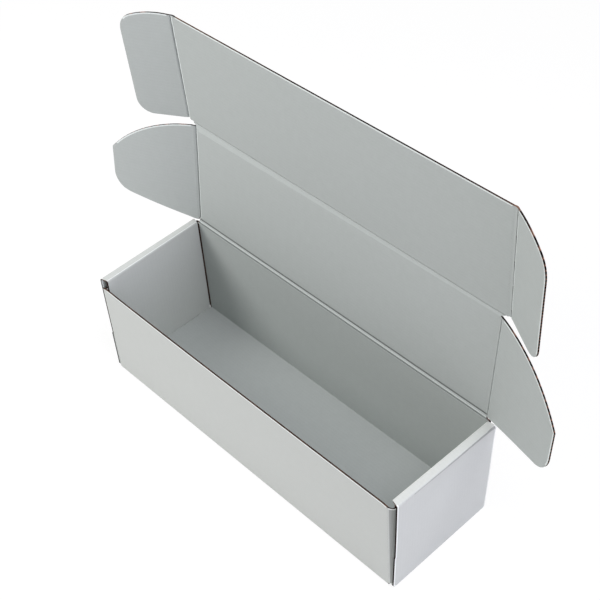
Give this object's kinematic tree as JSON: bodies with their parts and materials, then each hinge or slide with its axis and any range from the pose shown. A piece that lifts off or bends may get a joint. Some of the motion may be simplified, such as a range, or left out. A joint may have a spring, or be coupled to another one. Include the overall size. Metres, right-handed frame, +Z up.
{
  "type": "corrugated shipping box",
  "caption": "Long white corrugated mailer box standing open: rolled double end walls, hinged lid, front tuck flap, and folding side flaps on both.",
  "frame": {"origin": "centre of the tray's underside, on the surface it stands on", "axes": "+X along the box to the right seen from the front, +Y to the hinge side, +Z up"},
  "size_m": [0.4977, 0.1219, 0.3286],
  "materials": {
    "white_board": "matt white paper liner"
  },
  "bodies": {
    "tray": {"tray": "white_board"},
    "lid": {"lid_panel": "white_board"},
    "tuck": {"tuck_flap": "white_board"},
    "side_flap_left": {"lid_side_flap_left": "white_board"},
    "side_flap_right": {"lid_side_flap_right": "white_board"},
    "ear_left": {"tuck_ear_left": "white_board"},
    "ear_right": {"tuck_ear_right": "white_board"}
  },
  "joints": [
    {"name": "lid_hinge", "type": "hinge", "parent": "tray", "child": "lid", "pos_m": [0, 0.05565, 0.1114], "axis": [1, 0, 0], "range_deg": [-85.1, 50]},
    {"name": "tuck_hinge", "type": "hinge", "parent": "lid", "child": "tuck", "pos_m": [0, 0.06475, 0.21751], "axis": [1, 0, 0], "range_deg": [-7.1, 35]},
    {"name": "side_flap_left_hinge", "type": "hinge", "parent": "lid", "child": "side_flap_left", "pos_m": [-0.1711, 0.05565, 0.1114], "axis": [0, 0.0854, 0.9963], "range_deg": [-26, 64]},
    {"name": "side_flap_right_hinge", "type": "hinge", "parent": "lid", "child": "side_flap_right", "pos_m": [0.1711, 0.05565, 0.1114], "axis": [0, -0.0854, -0.9963], "range_deg": [-21, 69]},
    {"name": "ear_left_hinge", "type": "hinge", "parent": "tuck", "child": "ear_left", "pos_m": [-0.1792, 0.06475, 0.21751], "axis": [0, -0.0384, 0.9993], "range_deg": [-25, 65]},
    {"name": "ear_right_hinge", "type": "hinge", "parent": "tuck", "child": "ear_right", "pos_m": [0.1792, 0.06475, 0.21751], "axis": [0, 0.0384, -0.9993], "range_deg": [-28, 62]}
  ]
}
